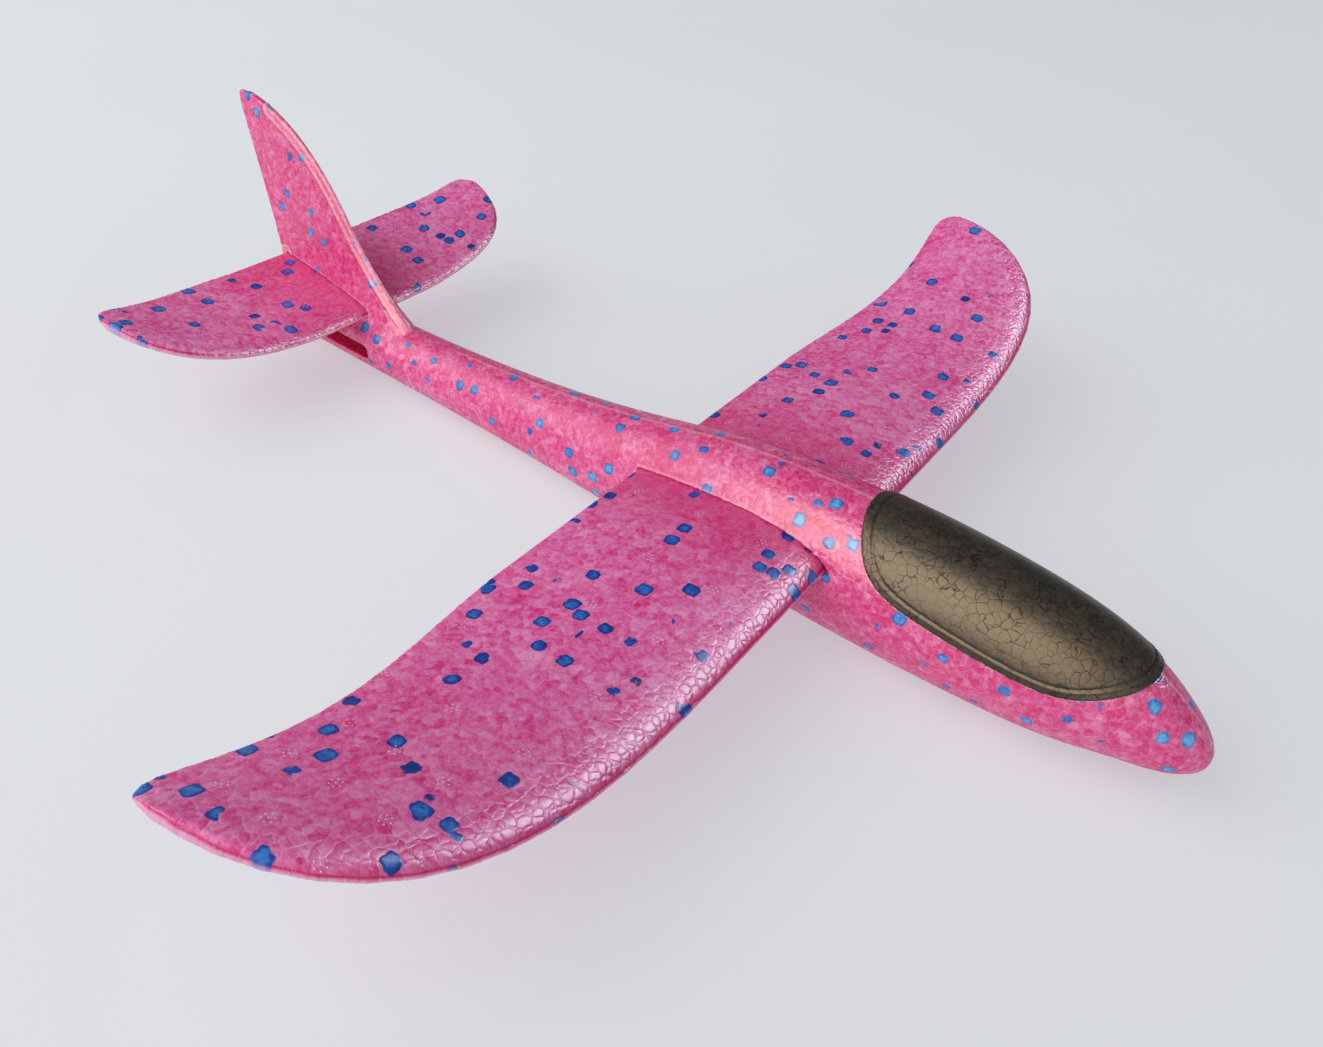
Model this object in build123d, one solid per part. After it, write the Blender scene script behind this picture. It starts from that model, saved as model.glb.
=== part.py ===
from build123d import *
from dataclasses import dataclass
from math import hypot, pi, sin, sqrt
import os

# Hand-launched foam glider: +X is the nose, +Y the left wing, +Z up, millimetres.
# The origin is under the middle of the aircraft, on the surface that the belly rests on.

# ---- body: (x, top, bottom, half width) of each cross-section, an ellipse cut flat at the belly ----
NOSE_X = 190.2
TAIL_X = -177.0
BODY_SECTIONS = (
    (NOSE_X, 18.8, 15.6, 1.8),
    (NOSE_X - 1.5, 21.8, 12.8, 4.6),
    (NOSE_X - 4.0, 24.8, 10.8, 6.9),
    (NOSE_X - 9.0, 29.0, 8.6, 9.8),
    (170.0, 36.2, 6.4, 13.8),
    (154.0, 42.0, 3.0, 17.6),
    (130.0, 45.8, 0.4, 19.9),
    (100.0, 47.6, -0.8, 20.7),
    (70.0, 47.0, -1.0, 20.2),
    (38.0, 44.2, -1.0, 19.0),
    (10.0, 38.4, -0.6, 16.7),
    (-30.0, 31.0, 0.9, 13.7),
    (-70.0, 26.7, 1.9, 11.7),
    (-110.0, 24.5, 2.3, 10.7),
    (-150.0, 24.4, 2.4, 10.0),
    (TAIL_X, 24.4, 2.8, 8.8),
)
CANOPY_PROUD = 0.8
GLUE_GAP = 0.06

# ---- fin: (height, leading edge, trailing edge, half thickness) of each level section ----
FIN_SECTIONS = (
    (19.0, -100.0, TAIL_X + 0.4, 7.6),
    (25.0, -106.5, TAIL_X, 5.4),
    (32.0, -115.0, TAIL_X - 0.4, 3.7),
    (42.0, -125.0, -179.6, 2.7),
    (55.0, -135.0, -182.6, 2.4),
    (66.0, -142.6, -185.1, 2.2),
    (76.0, -151.6, -187.6, 2.0),
    (84.0, -162.0, -189.4, 1.8),
    (89.0, -172.5, -190.2, 1.5),
    (91.5, -182.0, -189.4, 1.1),
)


@dataclass
class Blade:
    """A one-piece wing or tailplane: a straight middle panel and two ends that sweep up."""
    flat: float          # half width of the straight middle panel
    tip: float           # half span
    front: float         # leading edge of the middle panel
    rear: float          # trailing edge of the middle panel
    rear_z: float        # height of that trailing edge
    slope: float         # rise of the chord per unit of length, nose up positive
    thick: float
    tip_thick: float
    camber: float
    rise: float          # how far the tips stand above the middle panel
    rise_power: float
    tip_x: float         # where the leading edge's curve ends at the tip
    front_round: float   # power of the leading edge's curve to the tip, smaller is squarer
    rear_sweep: float    # how far the trailing edge runs forward outboard
    rear_reach: float    # share of the outer panel at which it is furthest forward
    corner: float        # how far the trailing corner of the tip is cut back
    front_gap: float     # room left in the slot ahead of the leading edge


# ---- wing, through the body; tailplane, through the upper slot, nose down, for looping flight ----
WING = Blade(flat=75.0, tip=190.8, front=79.5, rear=9.5, rear_z=27.9, slope=0.026, thick=6.2,
             tip_thick=2.8, camber=2.9, rise=25.5, rise_power=2.0, tip_x=16.5, front_round=0.45,
             rear_sweep=9.2, rear_reach=0.69, corner=4.6, front_gap=1.5)
TAIL = Blade(flat=25.0, tip=86.8, front=-125.4, rear=-174.6, rear_z=32.5, slope=-0.138, thick=4.4,
             tip_thick=2.8, camber=0.3, rise=11.5, rise_power=1.5, tip_x=-160.0, front_round=0.53,
             rear_sweep=8.6, rear_reach=1.0, corner=6.0, front_gap=0.3)
FRONT_POWER = 4.2
CORNER_POWER = 36
OUTER_SECTIONS = 14
LAST_SECTION = 0.997
SLOT_GAP = 0.15

# ---- lower tail slot, empty here, which takes the tailplane for level flight ----
LEVEL_SLOT_FRONT = -121.0
LEVEL_SLOT_REAR = -172.0
LEVEL_SLOT_Z = 13.0
LEVEL_SLOT_HEIGHT = 5.4

# ---- ballast: a steel slug in a blind bore under the canopy ----
SLUG_X = 148.0
SLUG_RADIUS = 4.0
SLUG_HEIGHT = 11.5
SLUG_BASE_Z = 13.0
SLUG_GAP = 0.05

# Blade section: (distance from the leading edge / chord, share of camber, share of half thickness)
BLADE_SHAPE = (
    (1.0, 0.0, 0.26),
    (0.8, 0.5, 0.56),
    (0.55, 0.93, 0.86),
    (0.3, 1.0, 1.0),
    (0.1, 0.58, 0.88),
    (0.025, 0.22, 0.52),
)
FIN_SHAPE = ((1.0, 0.36), (0.7, 0.7), (0.35, 1.0), (0.12, 0.84), (0.03, 0.48))
WIDE = 240.0


def across(x, z=0.0):
    """A plane square to the length of the aircraft."""
    return Plane(origin=(x, 0, z), x_dir=(0, 1, 0), z_dir=(1, 0, 0))


def stations(points):
    """Distances along a run of points, so that every section of one blade is parted alike."""
    total, places = 0.0, [0.0]
    for (x0, y0), (x1, y1) in zip(points, points[1:]):
        total += hypot(x1 - x0, y1 - y0)
        places.append(total)
    return places


def section_face(points, places):
    """A closed section: one smooth curve round the leading edge, and a straight trailing edge."""
    curve = Edge.make_spline([Vector(x, y) for x, y in points], parameters=places)
    return make_face(Wire([curve, Edge.make_line(points[-1], points[0])]))


def along(y):
    """An upright fore-and-aft plane whose local axes are the model's X and Z."""
    return Plane(origin=(0, y, 0), x_dir=(1, 0, 0), z_dir=(0, -1, 0))


def body(grow=0.0):
    """The fuselage's outer shape, without the fin, a little larger all round by grow."""
    sections = []
    for x, top, bottom, half_width in BODY_SECTIONS:
        middle = (top + bottom) / 2
        half_height = (top - bottom) / 2
        sections.append(across(x, middle) * Ellipse(half_width + grow, half_height + grow))
    shape = loft(sections)
    above_floor = Pos(0, 0, WIDE) * Box(2 * WIDE, WIDE, 2 * WIDE)
    return shape & above_floor


def fin_points(front, rear, half_thick):
    """One streamlined level section of the fin, round its leading edge."""
    chord = front - rear
    side = [(front - share * chord, part * half_thick) for share, part in FIN_SHAPE]
    return side + [(front, 0)] + [(x, -y) for x, y in reversed(side)]


def fin():
    places = stations(fin_points(*FIN_SECTIONS[0][1:]))
    return loft([Pos(0, 0, height) * section_face(fin_points(*outline), places)
                 for height, *outline in FIN_SECTIONS])


def blade_points(front, rear, rear_z, slope, thick, camber):
    """One cambered section of a wing or tailplane, from above its trailing edge to below it."""
    chord = front - rear
    upper, lower = [], []
    for share, bend, part in BLADE_SHAPE:
        x = front - share * chord
        middle = rear_z + (x - rear) * slope + bend * camber
        upper.append((x, middle + part * thick / 2))
        lower.append((x, middle - part * thick / 2))
    return upper + [(front, rear_z + chord * slope)] + lower[::-1]


def middle_points(blade, gap=0.0):
    """The section of a blade's straight middle panel, larger all round by gap."""
    return blade_points(blade.front + gap, blade.rear - gap, blade.rear_z - gap * blade.slope,
                        blade.slope, blade.thick + 2 * gap, blade.camber)


def outer_points(blade, share):
    """The section of an outer panel at a share of the way from the middle panel to the tip."""
    sweep = blade.rear_sweep * sin(pi / 2 * share / blade.rear_reach) ** 2
    rear = blade.rear + sweep + blade.corner * share ** CORNER_POWER
    taper = (1 - share ** FRONT_POWER) ** blade.front_round
    front = blade.tip_x + (blade.front - blade.tip_x) * taper
    narrowing = (front - rear) / (blade.front - blade.rear)
    rear_z = blade.rear_z + (rear - blade.rear) * blade.slope + blade.rise * share ** blade.rise_power
    thick = blade.tip_thick + (blade.thick - blade.tip_thick) * sqrt(narrowing)
    return blade_points(front, rear, rear_z, blade.slope, thick, blade.camber * narrowing)


def make_blade(blade):
    places = stations(middle_points(blade))
    root = along(blade.flat) * section_face(middle_points(blade), places)
    middle = extrude(root, amount=2 * blade.flat, dir=(0, -1, 0))
    sections = []
    for step in range(OUTER_SECTIONS + 1):
        share = LAST_SECTION * sin(pi / 2 * step / OUTER_SECTIONS)
        y = blade.flat + share * (blade.tip - blade.flat)
        sections.append(along(y) * section_face(outer_points(blade, share), places))
    left = loft(sections, ruled=True)
    return middle + left + mirror(left, about=Plane.XZ)


def slot(blade):
    """The opening through the body for a blade, with a gap all round and more room in front."""
    points = middle_points(blade, SLOT_GAP)
    face = along(WIDE / 2) * section_face(points, stations(points))
    opening = extrude(face, amount=WIDE, dir=(0, -1, 0))
    return opening + Pos(blade.front_gap, 0, blade.front_gap * blade.slope) * opening


def level_slot():
    """The empty slot through the tail boom."""
    length = LEVEL_SLOT_FRONT - LEVEL_SLOT_REAR
    middle = ((LEVEL_SLOT_FRONT + LEVEL_SLOT_REAR) / 2, LEVEL_SLOT_Z)
    face = along(WIDE / 2) * Pos(*middle) * SlotOverall(length, LEVEL_SLOT_HEIGHT)
    return extrude(face, amount=WIDE, dir=(0, -1, 0))


def canopy_seat():
    """Everything above the curved seat of the canopy, seen from the side."""
    rim = Spline((80.4, 49.5), (84.5, 44.6), (89.5, 38.2), (96.0, 33.6), (106.0, 30.9), (122.0, 28.9),
                 (140.0, 27.5), (151.0, 28.2), (159.0, 31.0), (166.0, 34.7), (172.0, 38.4))
    lid = Polyline(rim @ 1, (172.0, 60.0), (80.4, 60.0), rim @ 0)
    return extrude(along(WIDE / 2) * make_face(rim + lid), amount=WIDE, dir=(0, -1, 0))


def ballast_bore():
    height = WIDE / 4
    return Pos(SLUG_X, 0, SLUG_BASE_Z + height / 2) * Cylinder(SLUG_RADIUS + SLUG_GAP, height)


def fuselage():
    shape = body() + fin()
    for cutter in (slot(WING), slot(TAIL), level_slot(), canopy_seat(), ballast_bore()):
        shape = shape - cutter
    return shape


def canopy():
    return body(CANOPY_PROUD) & Pos(0, 0, GLUE_GAP) * canopy_seat()


def nose_ballast():
    slug = Cylinder(SLUG_RADIUS, SLUG_HEIGHT)
    slug = chamfer(slug.edges().filter_by(GeomType.CIRCLE), 0.5)
    return Pos(SLUG_X, 0, SLUG_BASE_Z + SLUG_HEIGHT / 2) * slug


os.makedirs("parts", exist_ok=True)
NODES = {
    "fuselage": fuselage(),
    "main_wing": make_blade(WING),
    "tailplane": make_blade(TAIL),
    "canopy": canopy(),
    "nose_ballast": nose_ballast(),
}
for name, shape in NODES.items():
    export_step(shape, f"parts/{name}.step")
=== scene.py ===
import bpy
import math
import numpy as np
from mathutils import Matrix, Vector
from mathutils.bvhtree import BVHTree
from mathutils.kdtree import KDTree


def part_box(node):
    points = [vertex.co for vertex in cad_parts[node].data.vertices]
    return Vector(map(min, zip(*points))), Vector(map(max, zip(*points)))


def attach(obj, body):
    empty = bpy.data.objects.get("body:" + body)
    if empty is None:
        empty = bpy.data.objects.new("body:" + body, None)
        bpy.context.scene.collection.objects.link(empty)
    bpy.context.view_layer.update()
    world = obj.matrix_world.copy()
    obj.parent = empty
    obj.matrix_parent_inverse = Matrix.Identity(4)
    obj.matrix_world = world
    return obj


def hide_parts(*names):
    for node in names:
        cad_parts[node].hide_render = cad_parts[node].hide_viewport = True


MM = 0.001

# ---- camera, placed in the model's own frame ----
CAMERA_AT = (0.1575, -0.2370, 0.22975)
CAMERA_FORWARD = (-0.40242, 0.65448, -0.64009)
CAMERA_UP = (-0.43431, 0.47902, 0.76283)
CAMERA_LENS = 28.57
CAMERA_SENSOR = 36.0

# ---- moulded bead foam, sizes in millimetres ----
WING_BEAD = 2.5
BODY_BEAD = 2.5
CANOPY_BEAD = 2.6
WING_VOXEL = 0.45
BODY_VOXEL = 0.5
CANOPY_VOXEL = 0.42
BEAD_RANDOMNESS = 0.9
BEAD_GROOVE = 0.16          # share of a bead over which its edge rolls down
BLUE_SPACING = 3.1          # cell of the blue beads, in pink beads
BLUE_GATHERING = (0.7, 1.7)     # how much fewer and more blue beads there are from place to place
SKIN_FLATTENING = 0.12      # so that a blade's beads run on round its thin edges
SURFACE_REACH = 6 * MM      # how far a neighbour's surface is looked for

# ---- where in the noise each piece's beads begin ----
SKIN_START = {"main_wing": 40.0, "tailplane": 93.0, "fuselage": 70.0, "canopy": 25.0}

# ---- (share of the cells that hold a blue bead, its radius in pink beads) ----
WING_BLUE = (0.36, 0.9)
BODY_BLUE = (0.68, 0.74)

# ---- (depth of the creases between the beads, how far the beads differ in height) ----
WING_RELIEF = (0.04, 0.025)
BODY_RELIEF = (0.05, 0.035)
CANOPY_RELIEF = (0.018, 0.008)

# ---- how strongly bead outlines show: 1 along the blades' leading edges, 0 in their middle ----
BODY_CRINKLE = 0.35
CANOPY_CRINKLE = 0.5
CRINKLE_REACH = (15.0, 5.0)     # distances from the outline where they are weakest and strongest

# ---- parting line round the blades' front edges ----
EDGE_FACING = 0.16          # the outline is the skin that faces up or down by less than this
EDGE_NEIGHBOURS = 5         # points of the outline that are averaged
EDGE_REACH = (3.6, 2.4)     # distances from the outline where the line is gone and whole
EDGE_FORWARD = (-0.3, 0.05)     # how far forward the outline faces there
EDGE_STEEP = (0.88, 0.7)    # and how far up the skin faces
PARTING_HEIGHT = 0.4        # of the line above the middle of the edge
PARTING_CUT = 0.16
LIP_DEPTH = 1.5
LIP_PROUD = 0.26
LIP_STEEP = (0.5, 0.2)

# ---- deeper colour where a blade enters the body ----
BODY_REACH = {"main_wing": 16 * MM, "tailplane": 6 * MM}    # half width of the body there
ROOT_FADE = 42 * MM         # how far the colour runs out from the body
ROOT_TINT = 0.55

# ---- lower tail slot, a little larger than its walls so that they are inside ----
LEVEL_SLOT_MIDDLE = (-146.5, 13.0)      # x, z
LEVEL_SLOT_SIZE = (51.6, 5.9)
# painted shade on the walls of the empty slot
LEVEL_SLOT_SHADE = 0.85

# ---- fin's flat front band, with a ridge along it and two fine lines ----
FIN_FOOT = 24.5
FIN_START = -98.0
BAND_WIDTH = 3.0
BAND_RIDGE = 0.24
BAND_SUNK = 0.05
BAND_LINE_CUT = 0.12
BAND_OUTER_LINE = 0.75      # behind the ridge
BAND_INNER_LINE = 1.7       # behind the leading edge

# ---- raised lips round the slots, seam along the top of the body, canopy's inner line ----
SLOT_LIP_AT = 0.75
SLOT_LIP_PROUD = 0.28
SPINE_START = -90.0         # where the seam begins, ahead of the fin
SPINE_PROUD = 0.14
RIM_LINE_AT = 3.0
RIM_LINE_DEPTH = 0.26
RIM_BEAD_AT = 2.2
RIM_BEAD_PROUD = 0.12

# ---- steam-vent marks: a ring of small pips round a middle one ----
VENT_RING = 1.35
PIPS_ROUND = 6
PIP_RADIUS = 0.24
PIP_SIDES = 8
PIP_TURN = 40.0             # turns the rings apart from place to place
WING_PIP = 0.045            # low enough to pass through the slot
CANOPY_PIP = 0.03

# ---- looks of the foam ----
BUMP_DEPTH = 0.1 * MM
FOAM_BUMP = 0.32
FOAM_ROUGHNESS = (0.15, 0.22)   # of the smoothest skin, and what the mottling adds
CREASE_PALENESS = 0.34
CREASE_ROUGHNESS = 0.25
# how pale the painted highlights and sheen of the 'lip' attribute are
LIP_PAINTED_HIGHLIGHT = 0.6
CANOPY_BUMP = 0.4
CANOPY_ROUGHNESS = (0.27, 0.22)
# painted shade in the cracks between the canopy's beads
CRACK_PAINTED_SHADE = 0.85
GRAZING = (0.5, 0.85)       # Layer Weight's facing where the gloss begins to fall and has fallen
GRAZING_GLOSS = 0.06        # share of the gloss that is left

# ---- stage ----
FLOOR_SIZE = 9.0
FLOOR_GLOW = 1.0
WORLD_COLOUR = (0.93, 0.96, 1.0, 1.0)
WORLD_STRENGTH = (0.78, 0.2)    # on the near side and on the far side
WORLD_SEEN = 0.7                # the least that the camera sees

# ---- lamps: place, aim, size, watts, colour ----
LAMPS = {
    "key_window": ((-0.75, -0.85, 0.9), (0.0, 0, 0), (1.9, 1.3), 13.2, (1.0, 0.985, 0.965)),
    "far_window": ((0.45, 0.62, 0.71), (0.05, 0, 0.03), (0.60, 0.34), 10.5, (0.76, 0.88, 1.0)),
    "skylight": ((0.20, 0.40, 0.90), (0.0, 0, 0.03), (0.55, 0.35), 3.6, (0.70, 0.86, 1.0)),
    "ceiling": ((0.08, -0.95, 0.72), (0.08, 0, 0), (1.2, 1.3), 30.0, (1.0, 0.78, 0.52)),
}


def linear(red, green, blue):
    """A colour given in screen values from 0 to 255, as the linear values that shaders take."""
    values = []
    for value in (red, green, blue):
        share = value / 255
        values.append(share / 12.92 if share <= 0.04045 else ((share + 0.055) / 1.055) ** 2.4)
    return (*values, 1.0)


def smoothstep(low, high, values):
    share = np.clip((values - low) / (high - low), 0, 1)
    return share * share * (3 - 2 * share)


def bump_at(values, middle, width):
    """A smooth hump, 1 at the middle and close to 0 at two widths away."""
    return np.exp(-((values - middle) / width) ** 2)


# ------------------------------------------------------------------ mesh helpers

def coordinates(mesh):
    flat = np.empty(len(mesh.vertices) * 3, np.float32)
    mesh.vertices.foreach_get("co", flat)
    return flat.reshape(-1, 3).astype(float)


def normals(mesh):
    flat = np.empty(len(mesh.vertices) * 3, np.float32)
    mesh.vertex_normals.foreach_get("vector", flat)
    return flat.reshape(-1, 3).astype(float)


def set_coordinates(mesh, points):
    mesh.vertices.foreach_set("co", points.astype(np.float32).ravel())
    mesh.update()


def add_values(mesh, name, values):
    attribute = mesh.attributes.new(name, "FLOAT", "POINT")
    attribute.data.foreach_set("value", values.astype(np.float32))


def add_vectors(mesh, name, values):
    attribute = mesh.attributes.new(name, "FLOAT_VECTOR", "POINT")
    attribute.data.foreach_set("vector", values.astype(np.float32).ravel())


def link(name, mesh):
    piece = bpy.data.objects.new(name, mesh)
    bpy.context.scene.collection.objects.link(piece)
    return piece


def apply_modifiers(piece):
    """Bakes the modifiers of a piece into its mesh."""
    graph = bpy.context.evaluated_depsgraph_get()
    mesh = bpy.data.meshes.new_from_object(piece.evaluated_get(graph))
    piece.modifiers.clear()
    piece.data = mesh
    return piece


def dense_copy(node, name, voxel):
    """An even, fine mesh over a CAD solid, with its edges softened as moulded foam's are."""
    piece = link(name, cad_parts[node].data.copy())
    remesh = piece.modifiers.new("even_mesh", "REMESH")
    remesh.mode = "VOXEL"
    remesh.voxel_size = voxel * MM
    smooth = piece.modifiers.new("soften", "SMOOTH")
    smooth.factor = 0.5
    smooth.iterations = 2
    apply_modifiers(piece)
    piece.data.shade_smooth()
    return piece


def distance_to(node, points):
    """How far each point is from a CAD node's surface, in millimetres, up to SURFACE_REACH."""
    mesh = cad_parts[node].data
    mesh.calc_loop_triangles()
    tree = BVHTree.FromPolygons([v.co for v in mesh.vertices],
                                [t.vertices[:] for t in mesh.loop_triangles])
    far = np.full(len(points), SURFACE_REACH)
    low, high = (np.array(corner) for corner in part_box(node))
    inside = np.all((points > low - SURFACE_REACH) & (points < high + SURFACE_REACH), axis=1)
    for i in np.nonzero(inside)[0]:
        place = tree.find_nearest(Vector(points[i]), SURFACE_REACH)[0]
        if place is not None:
            far[i] = np.linalg.norm(np.array(place) - points[i])
    return far / MM


def nearest_points(points, targets, count=1):
    """For each point, the nearest targets' numbers and distances in millimetres."""
    tree = KDTree(len(targets))
    for i, target in enumerate(targets):
        tree.insert(Vector(target), i)
    tree.balance()
    numbers = np.zeros((len(points), count), int)
    far = np.zeros((len(points), count))
    for i, point in enumerate(points):
        for j, (_, number, distance) in enumerate(tree.find_n(Vector(point), count)):
            numbers[i, j] = number
            far[i, j] = distance
    return numbers, far / MM


# ------------------------------------------------------------------ node helpers

def node(tree, kind, inputs=None, **settings):
    """A new node, with its settings and with inputs given as values or as other nodes' sockets."""
    made = tree.nodes.new(kind)
    for key, value in settings.items():
        setattr(made, key, value)
    for key, value in (inputs or {}).items():
        socket = made.inputs[key]
        if isinstance(value, bpy.types.NodeSocket):
            tree.links.new(value, socket)
        else:
            socket.default_value = value
    return made


def maths(tree, operation, *values):
    return node(tree, "ShaderNodeMath", dict(enumerate(values)), operation=operation).outputs[0]


def ramp_value(tree, value, low, high, start=0.0, end=1.0):
    """Maps low..high smoothly to start..end, and holds outside."""
    made = node(tree, "ShaderNodeMapRange", {"Value": value, "From Min": low, "From Max": high,
                                            "To Min": start, "To Max": end},
                interpolation_type="SMOOTHSTEP")
    return made.outputs["Result"]


def mix_colour(tree, share, first, second):
    made = node(tree, "ShaderNodeMix", data_type="RGBA")
    for socket, value in ((made.inputs[0], share), (made.inputs[6], first), (made.inputs[7], second)):
        if isinstance(value, bpy.types.NodeSocket):
            tree.links.new(value, socket)
        else:
            socket.default_value = value
    return made.outputs[2]


def colour_ramp(tree, share, stops):
    made = node(tree, "ShaderNodeValToRGB", {"Fac": share})
    elements = made.color_ramp.elements
    while len(elements) < len(stops):
        elements.new(0.5)
    for element, (place, colour) in zip(elements, stops):
        element.position = place
        element.color = colour
    return made.outputs["Color"]


def noise(tree, vector, scale, detail=2.0, roughness=0.5):
    return node(tree, "ShaderNodeTexNoise", {"Vector": vector, "Scale": scale, "Detail": detail,
                                            "Roughness": roughness})


def bead_cells(tree, vector, blue=None):
    """The beads: a number for each, the distance to its edge, and where and which the blue ones are."""
    cells = node(tree, "ShaderNodeTexVoronoi", {"Vector": vector, "Scale": 1.0,
                                               "Randomness": BEAD_RANDOMNESS})
    edges = node(tree, "ShaderNodeTexVoronoi", {"Vector": vector, "Scale": 1.0,
                                               "Randomness": BEAD_RANDOMNESS},
                 feature="DISTANCE_TO_EDGE")
    number = node(tree, "ShaderNodeSeparateXYZ", {0: cells.outputs["Color"]}).outputs[0]
    edge = edges.outputs["Distance"]
    if blue is None:
        return number, edge, None, None
    share, radius = blue
    big = node(tree, "ShaderNodeTexVoronoi", {"Vector": vector, "Scale": 1 / BLUE_SPACING,
                                             "Randomness": 0.95, "Exponent": 3.2},
               distance="MINKOWSKI")
    draws = node(tree, "ShaderNodeSeparateXYZ", {0: big.outputs["Color"]})
    few, many = BLUE_GATHERING
    gathered = ramp_value(tree, noise(tree, vector, 0.075, 1.0).outputs[0], 0.4, 0.62,
                          share * few, share * many)
    chosen = maths(tree, "LESS_THAN", draws.outputs[0], gathered)
    size = maths(tree, "MULTIPLY_ADD", draws.outputs[1], 0.3 * radius, 0.8 * radius)
    reach = maths(tree, "SUBTRACT", size, maths(tree, "MULTIPLY", big.outputs["Distance"], BLUE_SPACING))
    inside = maths(tree, "MULTIPLY", chosen, ramp_value(tree, reach, -0.06, 0.06))
    blue_edge = maths(tree, "MULTIPLY_ADD", maths(tree, "SUBTRACT", 1.0, chosen), 5.0,
                      maths(tree, "ABSOLUTE", reach))
    own = maths(tree, "MAXIMUM", maths(tree, "MULTIPLY", inside, 5.0), edge)
    return number, maths(tree, "MINIMUM", own, blue_edge), inside, draws.outputs[2]


def wobbled(tree, vector, amount=0.2):
    """The bead coordinates, bent a little so that bead edges aren't straight."""
    bent = noise(tree, vector, 1.7, 1.0).outputs["Color"]
    centred = node(tree, "ShaderNodeVectorMath", {0: bent, 1: (0.5, 0.5, 0.5)}, operation="SUBTRACT")
    scaled = node(tree, "ShaderNodeVectorMath", {0: centred.outputs[0], "Scale": amount * 2},
                  operation="SCALE")
    return node(tree, "ShaderNodeVectorMath", {0: vector, 1: scaled.outputs[0]}).outputs[0]


# ------------------------------------------------------------------ bead relief as real geometry

def relief(piece, crown, unevenness, blue=None):
    """Raises each bead and sinks the creases between them, with the cells that the material uses."""
    group = bpy.data.node_groups.new("bead_relief_" + piece.name, "GeometryNodeTree")
    group.interface.new_socket("Geometry", in_out="INPUT", socket_type="NodeSocketGeometry")
    group.interface.new_socket("Geometry", in_out="OUTPUT", socket_type="NodeSocketGeometry")
    start = group.nodes.new("NodeGroupInput")
    end = group.nodes.new("NodeGroupOutput")
    skin = node(group, "GeometryNodeInputNamedAttribute", {"Name": "skin"}, data_type="FLOAT_VECTOR")
    vector = wobbled(group, skin.outputs["Attribute"])
    first, edge, _, _ = bead_cells(group, vector, blue)
    crinkle = node(group, "GeometryNodeInputNamedAttribute", {"Name": "crinkle"}, data_type="FLOAT")
    depth = maths(group, "MULTIPLY_ADD", crinkle.outputs["Attribute"], 1.2 * crown * MM, 0.6 * crown * MM)
    rolled = maths(group, "MULTIPLY", ramp_value(group, edge, 0.0, BEAD_GROOVE, -1.0, 0.0), depth)
    uneven = maths(group, "MULTIPLY", maths(group, "SUBTRACT", first, 0.7), unevenness * MM)
    height = maths(group, "ADD", rolled, uneven)
    normal = node(group, "GeometryNodeInputNormal")
    offset = node(group, "ShaderNodeVectorMath", {0: normal.outputs[0], "Scale": height},
                  operation="SCALE")
    moved = node(group, "GeometryNodeSetPosition", {"Geometry": start.outputs[0],
                                                    "Offset": offset.outputs[0]})
    group.links.new(moved.outputs[0], end.inputs[0])
    modifier = piece.modifiers.new("beads", "NODES")
    modifier.node_group = group
    apply_modifiers(piece)
    piece.data.shade_smooth()


# ------------------------------------------------------------------ materials

def new_material(name):
    material = bpy.data.materials.new(name)
    material.use_nodes = True
    tree = material.node_tree
    tree.nodes.clear()
    shader = tree.nodes.new("ShaderNodeBsdfPrincipled")
    output = tree.nodes.new("ShaderNodeOutputMaterial")
    tree.links.new(shader.outputs[0], output.inputs["Surface"])
    return material, tree, shader


def attribute(tree, name, kind="Fac"):
    return node(tree, "ShaderNodeAttribute", attribute_name=name).outputs[kind]


def grazing_gloss(tree, gloss):
    """Less gloss at a glancing angle, where real foam's fine texture breaks reflections up."""
    facing = node(tree, "ShaderNodeLayerWeight", {"Blend": 0.5}).outputs["Facing"]
    return ramp_value(tree, facing, *GRAZING, gloss, GRAZING_GLOSS * gloss)


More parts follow.
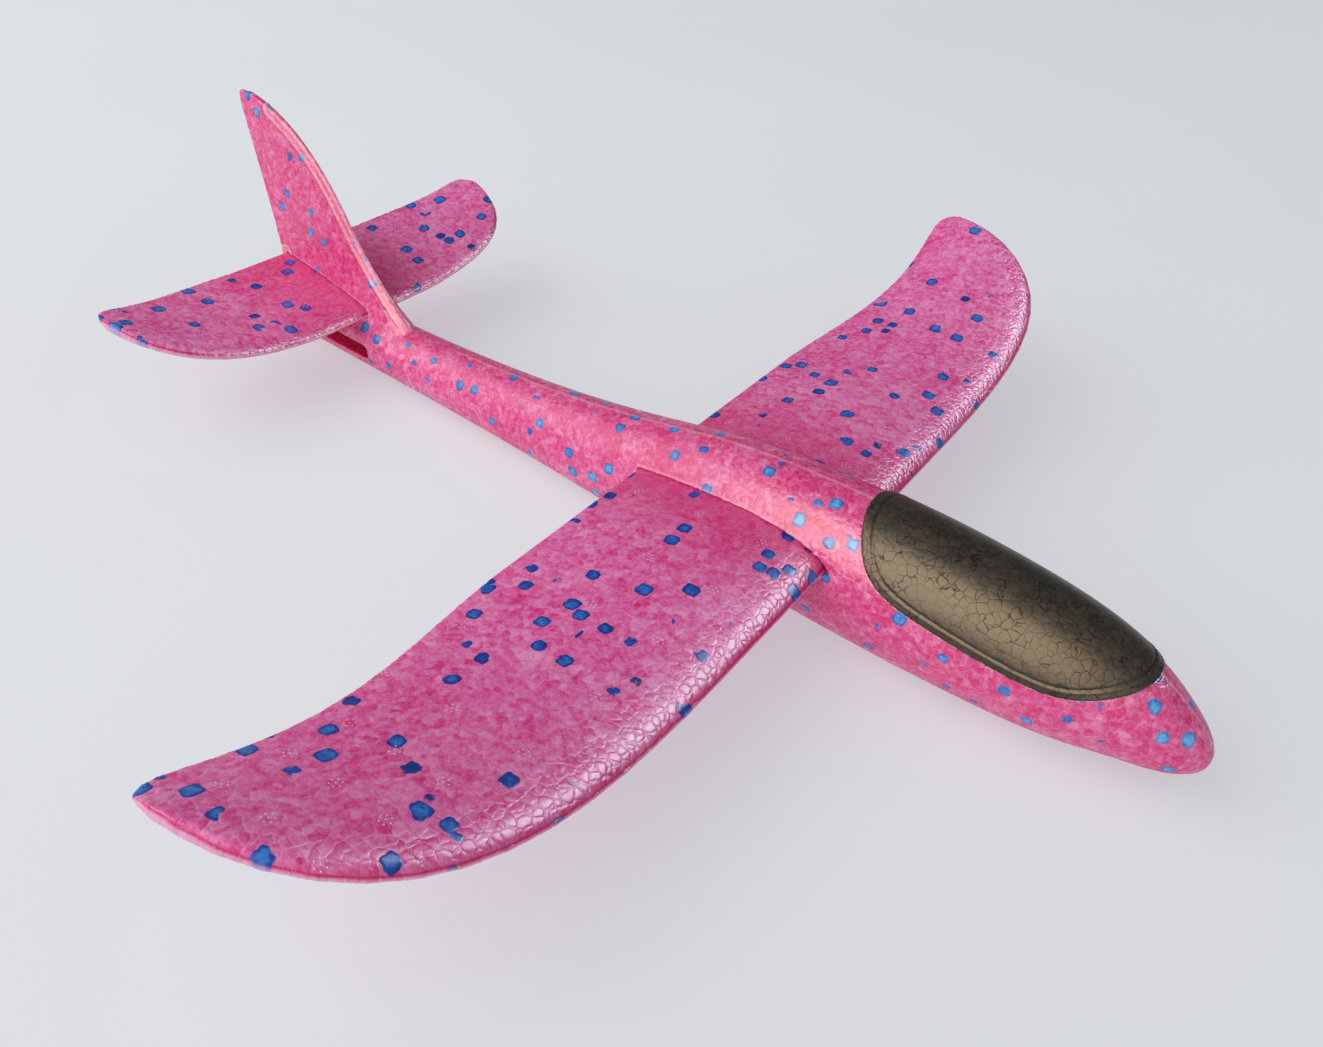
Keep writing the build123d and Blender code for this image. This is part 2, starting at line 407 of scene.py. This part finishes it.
def foam_material(name, stops, pale, deep, blue, blue_stops, gloss):
    """Satin moulded bead foam: each bead its own tone, fine mottling, pale creases, some blue beads,
    darker parting lines with painted shade, and painted highlights and sheen.
    """
    material, tree, shader = new_material(name)
    skin = attribute(tree, "skin", "Vector")
    vector = wobbled(tree, skin)
    first, edge, blue_mask, blue_tone = bead_cells(tree, vector, blue)

    mottle = noise(tree, skin, 1.5, 4.0, 0.66).outputs[0]
    broad = noise(tree, skin, 0.13, 2.0).outputs[0]
    spread = maths(tree, "MULTIPLY_ADD", maths(tree, "POWER", first, 1.3), 0.26, 0.37)
    tone = maths(tree, "MULTIPLY_ADD", maths(tree, "SUBTRACT", mottle, 0.5), 1.1, spread)
    tone = maths(tree, "MULTIPLY_ADD", maths(tree, "SUBTRACT", broad, 0.5), 0.4, tone)
    colour = colour_ramp(tree, tone, stops)

    patchy = ramp_value(tree, noise(tree, skin, 0.4, 2.0).outputs[0], 0.4, 0.62, 0.12, 0.8)
    patchy = maths(tree, "MULTIPLY", patchy, ramp_value(tree, attribute(tree, "crinkle"), 0, 1, 0.4, 1))
    crease = maths(tree, "MULTIPLY", ramp_value(tree, edge, 0.0, 0.08, 1.0, 0.0), patchy)
    colour = mix_colour(tree, maths(tree, "MULTIPLY", crease, CREASE_PALENESS), colour, pale)
    # deep colour where 'line' is set: parting lines, the deeper root colour, and painted shade
    colour = mix_colour(tree, attribute(tree, "line"), colour, deep)
    shade = maths(tree, "MULTIPLY_ADD", blue_tone, 0.3, maths(tree, "MULTIPLY", mottle, 0.9))
    shade = maths(tree, "ADD", shade, ramp_value(tree, edge, 0.0, 0.45, -0.22, 0.12))
    colour = mix_colour(tree, blue_mask, colour, colour_ramp(tree, shade, blue_stops))
    # painted highlights and sheen: paler where the 'lip' attribute is set
    lip = maths(tree, "MULTIPLY", attribute(tree, "lip"), LIP_PAINTED_HIGHLIGHT)
    colour = mix_colour(tree, lip, colour, pale)

    grain = noise(tree, skin, 7.0, 3.0, 0.6).outputs[0]
    standing = maths(tree, "MULTIPLY_ADD", attribute(tree, "crinkle"), 1.1, 0.6)
    rounding = maths(tree, "MULTIPLY", ramp_value(tree, edge, 0.0, 0.13), standing)
    fine = maths(tree, "MULTIPLY_ADD", rounding, 1.0,
                 maths(tree, "MULTIPLY_ADD", grain, 0.35, maths(tree, "MULTIPLY", mottle, 0.5)))
    bump = node(tree, "ShaderNodeBump", {"Strength": FOAM_BUMP, "Distance": BUMP_DEPTH,
                                        "Height": fine})
    smoothest, added = FOAM_ROUGHNESS
    rough = maths(tree, "MULTIPLY_ADD", mottle, added, smoothest)
    rough = maths(tree, "MULTIPLY_ADD", crease, CREASE_ROUGHNESS, rough)

    tree.links.new(colour, shader.inputs["Base Color"])
    tree.links.new(bump.outputs[0], shader.inputs["Normal"])
    tree.links.new(rough, shader.inputs["Roughness"])
    tree.links.new(grazing_gloss(tree, gloss), shader.inputs["Specular IOR Level"])
    shader.inputs["Subsurface Weight"].default_value = 0.4
    shader.inputs["Subsurface Radius"].default_value = (1.0, 0.45, 0.6)
    shader.inputs["Subsurface Scale"].default_value = 0.0018
    return material


def wing_foam():
    stops = ((0.16, linear(212, 30, 116)), (0.36, linear(226, 84, 155)), (0.55, linear(230, 120, 178)),
             (0.8, linear(240, 154, 200)))
    blue_stops = ((0.3, linear(10, 36, 130)), (0.6, linear(20, 74, 174)), (0.85, linear(52, 128, 204)))
    # pale: creases and painted highlights; deep: parting lines and painted shade
    return foam_material("wing_foam", stops, linear(240, 182, 212), linear(206, 14, 98), WING_BLUE,
                         blue_stops, 0.46)


def body_foam():
    stops = ((0.16, linear(206, 18, 92)), (0.36, linear(218, 54, 126)), (0.55, linear(225, 90, 150)),
             (0.8, linear(240, 144, 186)))
    blue_stops = ((0.3, linear(30, 84, 170)), (0.6, linear(60, 136, 206)), (0.85, linear(112, 184, 226)))
    # pale: creases and painted highlights; deep: parting lines and painted shade
    return foam_material("fuselage_foam", stops, linear(252, 200, 212), linear(214, 8, 74), BODY_BLUE,
                         blue_stops, 0.55)


def canopy_foam():
    """Black bead foam with a satin skin, brown where light passes over the beads."""
    material, tree, shader = new_material("canopy_foam")
    skin = attribute(tree, "skin", "Vector")
    vector = wobbled(tree, skin)
    first, edge, _, _ = bead_cells(tree, vector)
    mottle = noise(tree, skin, 2.2, 3.0, 0.6).outputs[0]
    tone = maths(tree, "MULTIPLY_ADD", maths(tree, "SUBTRACT", first, 0.5), 0.3, mottle)
    colour = colour_ramp(tree, tone, ((0.3, linear(28, 26, 24)), (0.7, linear(58, 51, 42))))
    open_share = noise(tree, skin, 0.5, 2.0).outputs[0]
    # painted shade: the cracks between beads are darkened
    crack = maths(tree, "MULTIPLY", ramp_value(tree, edge, 0.0, 0.065, 1.0, 0.0),
                  ramp_value(tree, open_share, 0.4, 0.62, 0.25, 1.0))
    colour = mix_colour(tree, maths(tree, "MULTIPLY", crack, CRACK_PAINTED_SHADE), colour, linear(12, 11, 9))
    # painted shade: the groove inside the rim is darkened
    colour = mix_colour(tree, attribute(tree, "line"), colour, linear(12, 11, 10))
    gloss = maths(tree, "MULTIPLY_ADD", crack, -0.45, 0.58)
    grain = noise(tree, skin, 10.0, 3.0, 0.62).outputs[0]
    fine = maths(tree, "MULTIPLY_ADD", ramp_value(tree, edge, 0.0, 0.07), 0.35,
                 maths(tree, "MULTIPLY_ADD", grain, 0.4, maths(tree, "MULTIPLY", mottle, 0.6)))
    bump = node(tree, "ShaderNodeBump", {"Strength": CANOPY_BUMP, "Distance": BUMP_DEPTH,
                                        "Height": fine})
    smoothest, added = CANOPY_ROUGHNESS
    rough = maths(tree, "MULTIPLY_ADD", mottle, added, smoothest)
    tree.links.new(colour, shader.inputs["Base Color"])
    tree.links.new(bump.outputs[0], shader.inputs["Normal"])
    tree.links.new(rough, shader.inputs["Roughness"])
    tree.links.new(gloss, shader.inputs["Specular IOR Level"])
    shader.inputs["Specular Tint"].default_value = (1.0, 0.9, 0.78, 1.0)
    return material


def pip_material(name, colour, roughness):
    """The tiny marks that the mould's steam vents leave."""
    material, tree, shader = new_material(name)
    place = node(tree, "ShaderNodeTexCoord").outputs["Object"]
    tint = noise(tree, place, 2500.0).outputs[0]
    faint = tuple(0.8 * part for part in colour[:3]) + (1.0,)
    tree.links.new(mix_colour(tree, tint, faint, colour), shader.inputs["Base Color"])
    shader.inputs["Roughness"].default_value = roughness
    return material


def turned_steel():
    """Plain turned steel: fine rings of tool marks about the slug's axis and a little tarnish."""
    material, tree, shader = new_material("ballast_steel")
    place = node(tree, "ShaderNodeTexCoord").outputs["Object"]
    low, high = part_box("nose_ballast")
    centre = (low + high) / 2
    local = node(tree, "ShaderNodeVectorMath", {0: place, 1: tuple(centre)}, operation="SUBTRACT")
    marks = node(tree, "ShaderNodeTexWave", {"Vector": local.outputs[0], "Scale": 1800.0,
                                            "Distortion": 0.6, "Detail": 2.0},
                 wave_type="RINGS", rings_direction="Z")
    tarnish = noise(tree, local.outputs[0], 420.0, 3.0).outputs[0]
    colour = colour_ramp(tree, tarnish, ((0.35, linear(150, 149, 148)), (0.7, linear(192, 193, 196))))
    bump = node(tree, "ShaderNodeBump", {"Strength": 0.25, "Distance": 0.00004,
                                        "Height": marks.outputs["Fac"]})
    tree.links.new(colour, shader.inputs["Base Color"])
    tree.links.new(bump.outputs[0], shader.inputs["Normal"])
    tree.links.new(maths(tree, "MULTIPLY_ADD", tarnish, 0.25, 0.22), shader.inputs["Roughness"])
    shader.inputs["Metallic"].default_value = 1.0
    return material


# ------------------------------------------------------------------ pieces

def add_pip(place, normal, proud, points, faces):
    """Adds one small dome, square to the surface at a place, to a mesh's points and faces."""
    tilt = normal.to_track_quat("Z", "Y").to_matrix()
    first = len(points)
    for share, height in ((1.0, -0.3), (0.75, 0.7)):
        for i in range(PIP_SIDES):
            angle = 2 * math.pi * i / PIP_SIDES
            local = Vector((share * PIP_RADIUS * math.cos(angle),
                            share * PIP_RADIUS * math.sin(angle), height * proud))
            points.append(place + tilt @ local * MM)
    points.append(place + tilt @ Vector((0, 0, proud)) * MM)
    shoulder = first + PIP_SIDES
    for i in range(PIP_SIDES):
        j = (i + 1) % PIP_SIDES
        faces.append((first + i, first + j, shoulder + j, shoulder + i))
        faces.append((shoulder + i, shoulder + j, shoulder + PIP_SIDES))
    faces.append(tuple(first + i for i in reversed(range(PIP_SIDES))))


def add_vents(piece, centres, material, proud):
    """The vent marks of a piece, as one object: a ring of pips where each ray meets its surface."""
    tree = BVHTree.FromPolygons([v.co for v in piece.data.vertices],
                                [p.vertices[:] for p in piece.data.polygons])
    points, faces = [], []
    for centre, direction in centres:
        spot, normal, _, _ = tree.ray_cast(Vector(centre), Vector(direction))
        if spot is None:
            continue
        turn = normal.to_track_quat("Z", "Y").to_matrix()
        for k in range(PIPS_ROUND + 1):
            radius = 0.0 if k == PIPS_ROUND else VENT_RING
            angle = 2 * math.pi * k / PIPS_ROUND + centre[0] * PIP_TURN
            step = Vector((radius * math.cos(angle), radius * math.sin(angle), 0))
            place, square, _, _ = tree.find_nearest(spot + turn @ step * MM)
            add_pip(place, square, proud, points, faces)
    marks = bpy.data.meshes.new(piece.name + "_marks")
    marks.from_pydata(points, [], faces)
    marks.materials.append(material)
    marks.shade_smooth()
    return link(piece.name + "_vents", marks)


def paint(piece, material):
    piece.data.materials.clear()
    piece.data.materials.append(material)


def outline_marks(points, facing):
    """Each point's distance to a blade's outline, its height over the parting line, and how far the
    outline faces forward there."""
    outline = np.nonzero(np.abs(facing[:, 2]) < EDGE_FACING)[0]
    numbers, far = nearest_points(points, points[outline], EDGE_NEIGHBOURS)
    line_z = points[outline][:, 2][numbers].mean(axis=1)
    forward = facing[outline][:, 0][numbers].mean(axis=1)
    above = (points[:, 2] - line_z) / MM - PARTING_HEIGHT
    return far[:, 0], above, smoothstep(*EDGE_FORWARD, forward)


def blade(node_name, name, body, material, pip, vents):
    """A wing or tailplane: dense mesh, parting line with its lower lip, beads, and vent marks; the lip
    gets a painted highlight and the strip above the line painted shade.
    """
    piece = dense_copy(node_name, name, WING_VOXEL)
    mesh = piece.data
    points, facing = coordinates(mesh), normals(mesh)
    far, above, ahead = outline_marks(points, facing)
    steep = smoothstep(*EDGE_REACH, far) * ahead * smoothstep(*EDGE_STEEP, facing[:, 2])
    lip = steep * smoothstep(-LIP_DEPTH - 0.5, -LIP_DEPTH, above) * smoothstep(0.1, -0.2, above)
    lip = lip * smoothstep(*LIP_STEEP, facing[:, 2])
    cut = steep * bump_at(above, 0.25, 0.3)
    push = lip * LIP_PROUD - cut * PARTING_CUT
    set_coordinates(mesh, points + facing * (push * MM)[:, None])

    # painted shade: a darker strip just above the parting line, where the edge's front face turns from
    # the light
    shade = 0.3 * smoothstep(0.0, 0.3, above) * smoothstep(1.5, 0.7, above)
    reach = BODY_REACH[node_name]
    root = ROOT_TINT * smoothstep(reach + ROOT_FADE, reach, np.abs(points[:, 1]))
    # 'line' holds the parting line, the painted shade above it and the deeper colour near the root
    add_values(mesh, "line", np.clip(steep * (bump_at(above, 0.15, 0.27) + shade) + root, 0, 1))
    # the lip is real raised flash; 'lip' also paints it paler, a painted highlight on its lit face
    add_values(mesh, "lip", lip)
    add_values(mesh, "crinkle", smoothstep(*CRINKLE_REACH, far) * ahead)
    skin = points * (1, 1, SKIN_FLATTENING) / (WING_BEAD * MM)
    add_vectors(mesh, "skin", skin + SKIN_START[node_name])
    relief(piece, *WING_RELIEF, WING_BLUE)
    paint(piece, material)
    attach(piece, body)
    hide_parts(node_name)
    marks = add_vents(piece, vents, pip, WING_PIP)
    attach(marks, body)
    return piece


def wing_vents():
    """Rows of vent marks over and under the wing: an even grid, and a closer one near each tip."""
    inner = [(x, 25.5 * column) for x in (18, 40, 62) for column in range(1, 6)]
    outer = [(x, y) for x in (27, 41.5, 56) for y in (146, 161.5, 177)]
    return both_faces(inner + outer)


def both_faces(spots):
    """Rays down and up at each (x, y) in millimetres, on both sides of the aircraft."""
    rays = []
    for x, y in spots:
        for side in (1, -1):
            rays.append(((x * MM, side * y * MM, 0.09), (0, 0, -1)))
            rays.append(((x * MM, side * y * MM, 0.0), (0, 0, 1)))
    return rays


def tail_vents():
    return both_faces([(x, y) for x in (-160, -141) for y in (21, 42, 63)])


def fin_band(points, facing):
    """The band along the fin's front: how far a point is up the fin, its ridge, fine lines and flat."""
    on_fin = (points[:, 2] > FIN_FOOT * MM) & (points[:, 0] < FIN_START * MM)
    front = np.nonzero(on_fin & (np.abs(points[:, 1]) < 0.55 * MM) & (facing[:, 0] > 0.35))[0]
    far = nearest_points(points, points[front])[1][:, 0]
    fade = smoothstep(24.0, 27.0, points[:, 2] / MM) * smoothstep(-96, -100, points[:, 0] / MM)
    ridge = fade * bump_at(far, BAND_WIDTH, 0.42)
    lines = fade * (bump_at(far, BAND_WIDTH + BAND_OUTER_LINE, 0.36)
                    + 0.7 * bump_at(far, BAND_INNER_LINE, 0.25))
    flat = fade * smoothstep(BAND_WIDTH, BAND_WIDTH - 0.6, far)
    return fade, ridge, lines, flat


def in_level_slot(points, facing):
    """1 on the walls of the empty slot through the tail."""
    slot_x = np.abs(points[:, 0] / MM - LEVEL_SLOT_MIDDLE[0]) < LEVEL_SLOT_SIZE[0] / 2
    slot_z = np.abs(points[:, 2] / MM - LEVEL_SLOT_MIDDLE[1]) < LEVEL_SLOT_SIZE[1] / 2
    return (slot_x & slot_z) * smoothstep(0.6, 0.3, np.abs(facing[:, 1]))


def fuselage(material):
    """The body: raised lips and painted shade at the seams round the blades, the fin's band, and the seam
    on top; lips, ridge and band also carry painted highlights and sheen.
    """
    piece = dense_copy("fuselage", "foam_fuselage", BODY_VOXEL)
    mesh = piece.data
    points, facing = coordinates(mesh), normals(mesh)
    to_blade = np.minimum(distance_to("main_wing", points), distance_to("tailplane", points))
    # the slot lips are raised for real, and painted paler on top as a painted highlight
    slot_lip = bump_at(to_blade, SLOT_LIP_AT, 0.32)
    # painted shade: a dark line where the body meets a blade
    seam = bump_at(to_blade, 0.0, 0.34)
    # painted sheen on the fin's flat band and a painted highlight on its ridge, both through 'lip'
    fade, ridge, lines, flat = fin_band(points, facing)

    upward = smoothstep(0.3, 0.7, facing[:, 2]) * smoothstep(20.0, 24.0, points[:, 2] / MM)
    ahead = smoothstep(SPINE_START, SPINE_START + 12.0, points[:, 0] / MM) * (1 - fade)
    # painted shade on one side of the seam on top, and a painted highlight along its raised crest
    spine = upward * ahead * bump_at(points[:, 1] / MM, 0.0, 0.4)
    spine_side_shade = upward * ahead * bump_at(points[:, 1] / MM, 0.8, 0.4)
    push = slot_lip * SLOT_LIP_PROUD + ridge * BAND_RIDGE - lines * BAND_LINE_CUT - flat * BAND_SUNK
    push = push + spine * SPINE_PROUD
    set_coordinates(mesh, points + facing * (push * MM)[:, None])

    # painted shade: the walls of the empty slot are darkened
    slot_wall_shade = LEVEL_SLOT_SHADE * in_level_slot(points, facing)
    # 'line' here is painted shade at the blade seams, on the slot walls and beside the spine, plus the
    # fin's fine lines
    add_values(mesh, "line", np.clip(0.8 * seam + 0.9 * lines + slot_wall_shade + 0.35 * spine_side_shade, 0, 1))
    # 'lip' here paints highlights on the slot lips, the fin's ridge and the spine, and sheen on the fin's
    # flat band
    add_values(mesh, "lip", np.clip(0.7 * slot_lip + ridge + 0.3 * flat + 0.7 * spine, 0, 1))
    add_values(mesh, "crinkle", np.full(len(points), BODY_CRINKLE))
    add_vectors(mesh, "skin", points / (BODY_BEAD * MM) + SKIN_START["fuselage"])
    relief(piece, *BODY_RELIEF, BODY_BLUE)
    paint(piece, material)
    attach(piece, "airframe")
    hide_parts("fuselage")
    return piece


def canopy(material, pip):
    """The lid: a fine line with a raised bead outside it, all round inside the rim."""
    piece = dense_copy("canopy", "foam_canopy", CANOPY_VOXEL)
    mesh = piece.data
    points, facing = coordinates(mesh), normals(mesh)
    inset = distance_to("fuselage", points)
    outer = smoothstep(0.3, 1.2, inset)
    groove = outer * bump_at(inset, RIM_LINE_AT, 0.3)
    bead = outer * bump_at(inset, RIM_BEAD_AT, 0.38)
    push = bead * RIM_BEAD_PROUD - groove * RIM_LINE_DEPTH
    set_coordinates(mesh, points + facing * (push * MM)[:, None])
    # the groove is real, and 'line' paints it darker as painted shade
    add_values(mesh, "line", np.clip(groove, 0, 1))
    add_values(mesh, "crinkle", np.full(len(points), CANOPY_CRINKLE))
    add_vectors(mesh, "skin", points / (CANOPY_BEAD * MM) + SKIN_START["canopy"])
    relief(piece, *CANOPY_RELIEF)
    paint(piece, material)
    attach(piece, "airframe")
    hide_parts("canopy")
    spots = [((x * MM, y * MM, 0.08), (0, 0, -1)) for x in (104, 132, 158) for y in (-7, 7)]
    marks = add_vents(piece, spots, pip, CANOPY_PIP)
    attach(marks, "airframe")
    return piece


# ------------------------------------------------------------------ stage

def floor():
    """A wide pale board, faintly uneven in tone, with a glow of its own so that shadows are light."""
    mesh = bpy.data.meshes.new("floor")
    corners = [(x * FLOOR_SIZE, y * FLOOR_SIZE, 0) for x, y in ((-1, -1), (1, -1), (1, 1), (-1, 1))]
    mesh.from_pydata(corners, [], [(0, 1, 2, 3)])
    piece = link("floor", mesh)
    material, tree, shader = new_material("pale_board")
    place = node(tree, "ShaderNodeTexCoord").outputs["Object"]
    tint = noise(tree, place, 3.0, 2.0).outputs[0]
    colour = mix_colour(tree, tint, linear(167, 169, 172), linear(172, 174, 176))
    tree.links.new(colour, shader.inputs["Base Color"])
    tree.links.new(colour, shader.inputs["Emission Color"])
    shader.inputs["Emission Strength"].default_value = FLOOR_GLOW
    shader.inputs["Roughness"].default_value = 0.6
    shader.inputs["Specular IOR Level"].default_value = 0.0
    mesh.materials.append(material)


def area_light(name, receivers=None):
    """A soft lamp. One with receivers lights only those pieces, and only in their reflections."""
    place, aim, size, power, colour = LAMPS[name]
    light = bpy.data.lights.new(name, "AREA")
    light.shape = "RECTANGLE"
    light.size, light.size_y = size
    light.energy = power
    light.color = colour
    lamp = bpy.data.objects.new(name, light)
    bpy.context.scene.collection.objects.link(lamp)
    lamp.location = place
    lamp.rotation_euler = (Vector(aim) - Vector(place)).to_track_quat("-Z", "Y").to_euler()
    lamp.visible_camera = False
    if receivers:
        group = bpy.data.collections.new(name + "_receivers")
        for piece in receivers:
            group.objects.link(piece)
        lamp.light_linking.receiver_collection = group
        lamp.visible_diffuse = False
        lamp.visible_transmission = False


def lighting(wing, tailplane, body, lid):
    """A pale room, dimmer on its far side in reflections, and four lamps."""
    world = bpy.data.worlds.new("room")
    bpy.context.scene.world = world
    world.use_nodes = True
    tree = world.node_tree
    background = tree.nodes["Background"]
    background.inputs["Color"].default_value = WORLD_COLOUR
    way = node(tree, "ShaderNodeTexCoord").outputs["Generated"]
    across = node(tree, "ShaderNodeSeparateXYZ", {0: way}).outputs["Y"]
    bright = ramp_value(tree, across, -0.8, 0.8, *WORLD_STRENGTH)
    seen = node(tree, "ShaderNodeLightPath").outputs["Is Camera Ray"]
    bright = maths(tree, "MAXIMUM", bright, maths(tree, "MULTIPLY", seen, WORLD_SEEN))
    tree.links.new(bright, background.inputs["Strength"])
    area_light("key_window")
    area_light("far_window", (wing, tailplane, body))
    area_light("skylight", (wing, tailplane))
    area_light("ceiling", (body, lid))
    view = bpy.context.scene.view_settings
    view.view_transform = "Standard"
    view.look = "None"


def camera():
    data = bpy.data.cameras.new("camera")
    data.lens = CAMERA_LENS
    data.sensor_width = CAMERA_SENSOR
    data.sensor_fit = "HORIZONTAL"
    data.clip_start = 0.01
    eye = bpy.data.objects.new("camera", data)
    bpy.context.scene.collection.objects.link(eye)
    back = -Vector(CAMERA_FORWARD).normalized()
    up = Vector(CAMERA_UP)
    right = up.cross(back).normalized()
    up = back.cross(right).normalized()
    turn = Matrix((right, up, back)).transposed().to_4x4()
    eye.matrix_world = Matrix.Translation(Vector(CAMERA_AT)) @ turn
    bpy.context.scene.camera = eye


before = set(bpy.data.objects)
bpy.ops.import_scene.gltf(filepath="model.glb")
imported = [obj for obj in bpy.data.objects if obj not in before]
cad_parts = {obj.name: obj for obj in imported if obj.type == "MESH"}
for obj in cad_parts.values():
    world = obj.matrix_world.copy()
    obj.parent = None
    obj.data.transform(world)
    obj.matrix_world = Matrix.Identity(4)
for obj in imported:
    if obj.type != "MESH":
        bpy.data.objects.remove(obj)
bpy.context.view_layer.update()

magenta = wing_foam()
white_pip = pip_material("vent_pip", linear(250, 214, 230), 0.5)
black_pip = pip_material("canopy_vent", linear(16, 15, 14), 0.6)
wing = blade("main_wing", "foam_wing", "wing", magenta, white_pip, wing_vents())
tailplane = blade("tailplane", "foam_tailplane", "tail", magenta, white_pip, tail_vents())
body = fuselage(body_foam())
lid = canopy(canopy_foam(), black_pip)
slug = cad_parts["nose_ballast"]
slug.data.materials.clear()
slug.data.materials.append(turned_steel())

floor()
lighting(wing, tailplane, body, lid)
camera()
